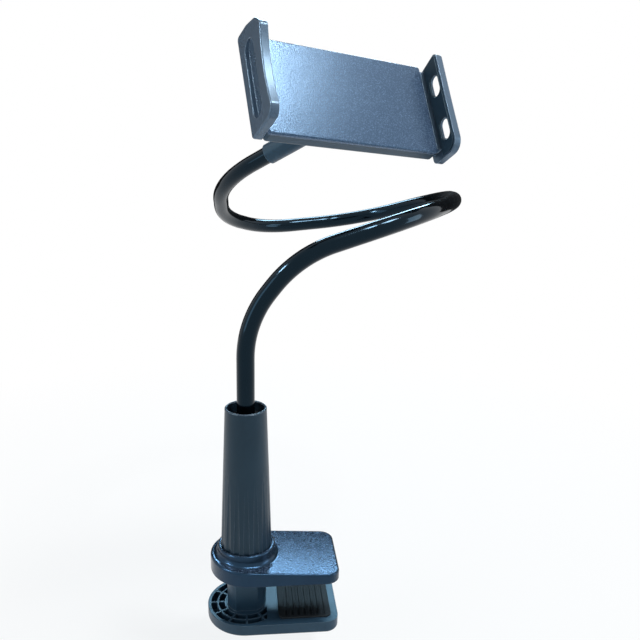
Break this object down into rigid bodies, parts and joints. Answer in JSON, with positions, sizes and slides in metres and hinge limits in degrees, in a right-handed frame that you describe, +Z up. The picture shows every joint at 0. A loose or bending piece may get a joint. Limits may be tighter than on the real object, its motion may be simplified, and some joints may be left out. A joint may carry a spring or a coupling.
{
  "type": "phone gooseneck holder",
  "caption": "Phone holder: a spring-jaw cradle on a lockable ball joint, a long bent gooseneck and a screw clamp that grips the edge of a table.",
  "frame": {"origin": "middle of the upper pad underside, where the clamp meets the table top", "axes": "+Z up out of the table top, +X from the column into the table, +Y the way that the picture looks"},
  "size_m": [0.2059, 0.276, 0.3972],
  "materials": {
    "slate_plastic": "fine grained dark slate",
    "black_plastic": "plain black",
    "neck_black": "gloss black sleeve",
    "alloy": "drawn soft alloy rod",
    "pad_rubber": "matt black",
    "brass": "turned",
    "steel": "plain"
  },
  "bodies": {
    "clamp": {"upper_jaw": "slate_plastic", "upper_jaw_pad": "pad_rubber", "thrust_washer": "steel"},
    "lower_jaw": {"lower_jaw": "slate_plastic", "lower_jaw_pad": "pad_rubber", "lead_nut": "brass"},
    "column": {"column": "slate_plastic", "lead_screw": "steel", "socket_bush": "black_plastic"},
    "neck_1": {"neck_plug": "black_plastic", "neck_core_1": "alloy", "neck_sleeve_1": "neck_black"},
    "neck_2": {"neck_core_2": "alloy", "neck_sleeve_2": "neck_black"},
    "neck_3": {"neck_core_3": "alloy", "neck_sleeve_3": "neck_black"},
    "neck_4": {"neck_core_4": "alloy", "neck_sleeve_4": "neck_black"},
    "neck_5": {"neck_core_5": "alloy", "neck_sleeve_5": "neck_black"},
    "neck_6": {"neck_core_6": "alloy", "neck_sleeve_6": "neck_black"},
    "neck_7": {"neck_core_7": "alloy", "neck_sleeve_7": "neck_black", "ball_socket": "slate_plastic"},
    "lock_nut": {"lock_nut": "slate_plastic"},
    "ball_seat": {"ball_seat": "black_plastic"},
    "ball": {"ball_stud": "black_plastic", "stud_washer": "steel", "stud_screw": "steel"},
    "cradle": {"back_shell": "slate_plastic", "front_plate": "slate_plastic", "cover_screws": "steel", "fixed_jaw": "slate_plastic", "fixed_jaw_lining": "pad_rubber", "jaw_screws": "steel", "spring_rod_upper": "steel", "spring_rod_lower": "steel", "jaw_spring_upper": "steel", "jaw_spring_lower": "steel"},
    "sliding_jaw": {"sliding_jaw": "slate_plastic", "sliding_jaw_lining": "pad_rubber"}
  },
  "joints": [
    {"name": "column_turn", "type": "hinge", "parent": "clamp", "child": "column", "pos_m": [-0.04, 0, 0], "axis": [0, 0, 1], "range_deg": [-1935, 2745]},
    {"name": "grip_slide", "type": "slide", "parent": "clamp", "child": "lower_jaw", "axis": [0, 0, 1], "range_m": [-0.03051, 0.02151]},
    {"name": "neck_swivel", "type": "hinge", "parent": "column", "child": "neck_1", "pos_m": [-0.04, 0, 0.112], "axis": [0, 0, 1], "continuous": true},
    {"name": "neck_bend_1", "type": "hinge", "parent": "neck_1", "child": "neck_2", "pos_m": [-0.04, 0, 0.1323], "axis": [0, 1, 0], "range_deg": [-30, 30]},
    {"name": "neck_bend_2", "type": "hinge", "parent": "neck_2", "child": "neck_3", "pos_m": [0.02596, 0.00449, 0.23014], "axis": [-0.1644, 0.9864, 0], "range_deg": [-30, 30]},
    {"name": "neck_bend_3", "type": "hinge", "parent": "neck_3", "child": "neck_4", "pos_m": [0.09519, 0.049, 0.2459], "axis": [-0.0235, -0.0359, 0.9991], "range_deg": [-30, 30]},
    {"name": "neck_bend_4", "type": "hinge", "parent": "neck_4", "child": "neck_5", "pos_m": [0.105, 0.22, 0.229], "axis": [-0.6854, -0.7282, 0], "range_deg": [-10, 30]},
    {"name": "neck_bend_5", "type": "hinge", "parent": "neck_5", "child": "neck_6", "pos_m": [0.01699, 0.23516, 0.21152], "axis": [-0.0587, -0.0183, 0.9981], "range_deg": [-30, 30]},
    {"name": "neck_bend_6", "type": "hinge", "parent": "neck_6", "child": "neck_7", "pos_m": [-0.059, 0.14342, 0.23956], "axis": [-1, 0, 0], "range_deg": [-10, 30]},
    {"name": "lock_nut_turn", "type": "hinge", "parent": "neck_7", "child": "lock_nut", "pos_m": [0.019, 0.049, 0.305], "axis": [0.726, -0.5306, 0.4375], "range_deg": [0, 270]},
    {"name": "ball_roll", "type": "hinge", "parent": "neck_7", "child": "ball_seat", "pos_m": [0.019, 0.049, 0.305], "axis": [0.726, -0.5306, 0.4375], "range_deg": [-220, 55]},
    {"name": "ball_tilt", "type": "hinge", "parent": "ball_seat", "child": "ball", "pos_m": [0.019, 0.049, 0.305], "axis": [0.1458, -0.5029, -0.8519], "range_deg": [-66, 13]},
    {"name": "cradle_spin", "type": "hinge", "parent": "ball", "child": "cradle", "pos_m": [0.019, 0.049, 0.305], "axis": [0.3557, -0.7769, 0.5195], "continuous": true},
    {"name": "jaw_slide", "type": "slide", "parent": "cradle", "child": "sliding_jaw", "axis": [0.9262, 0.3673, -0.0849], "range_m": [0, 0.07], "stiffness_N_per_m": 60, "springref_m": -0.05, "deforming": ["jaw_spring_upper", "jaw_spring_lower"]}
  ],
  "couplings": [
    {"joint": "grip_slide", "follows": "column_turn", "m_per_rad": -0.00063662}
  ]
}
